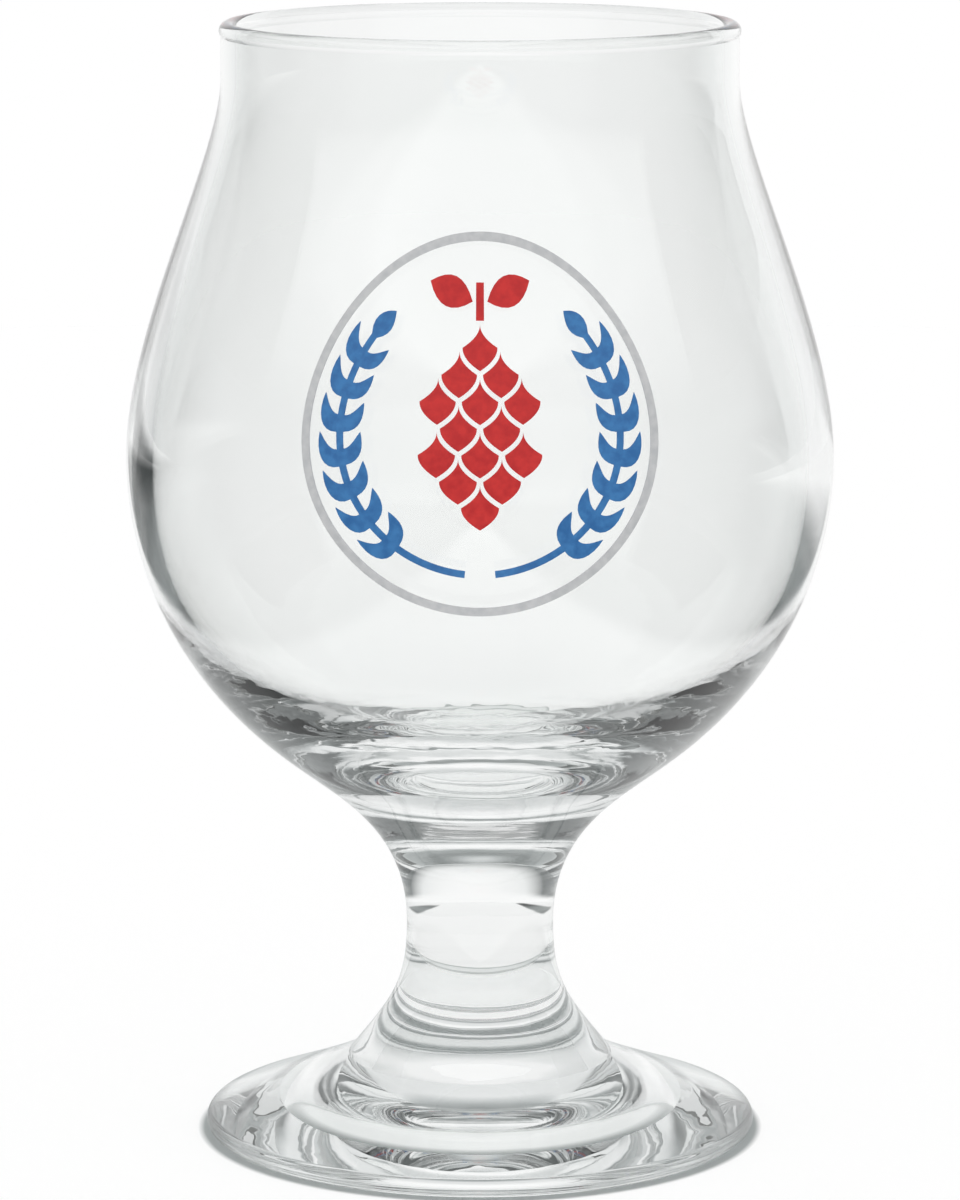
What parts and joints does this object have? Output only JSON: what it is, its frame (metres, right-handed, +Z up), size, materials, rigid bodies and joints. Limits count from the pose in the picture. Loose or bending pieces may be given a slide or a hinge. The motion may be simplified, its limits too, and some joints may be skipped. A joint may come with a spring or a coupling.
{
  "type": "stemmed beer glass",
  "caption": "Clear tulip-shaped beer glass: a wide bowl with a drawn-in neck and beaded rim on a short solid stem and a round foot, with a small enamel print on the front.",
  "frame": {"origin": "centre of the standing plane under the foot", "axes": "+Z up along the glass's axis, -Y towards the printed front, +X to the right of someone who looks at the print"},
  "size_m": [0.0918, 0.092, 0.146],
  "materials": {
    "clear_glass": "polished",
    "red_enamel": "gloss",
    "blue_enamel": "gloss",
    "grey_enamel": "gloss"
  },
  "bodies": {
    "root": {"bowl": "clear_glass", "stem": "clear_glass", "foot": "clear_glass", "print_ring": "grey_enamel", "print_ear_left": "blue_enamel", "print_ear_right": "blue_enamel", "print_hop_scale_1": "red_enamel", "print_hop_scale_2": "red_enamel", "print_hop_scale_3": "red_enamel", "print_hop_scale_4": "red_enamel", "print_hop_scale_5": "red_enamel", "print_hop_scale_6": "red_enamel", "print_hop_scale_7": "red_enamel", "print_hop_scale_8": "red_enamel", "print_hop_scale_9": "red_enamel", "print_hop_scale_10": "red_enamel", "print_hop_scale_11": "red_enamel", "print_hop_scale_12": "red_enamel", "print_hop_scale_13": "red_enamel", "print_hop_scale_14": "red_enamel", "print_hop_stalk": "red_enamel", "print_hop_leaf_left": "red_enamel", "print_hop_leaf_right": "red_enamel"}
  },
  "joints": []
}
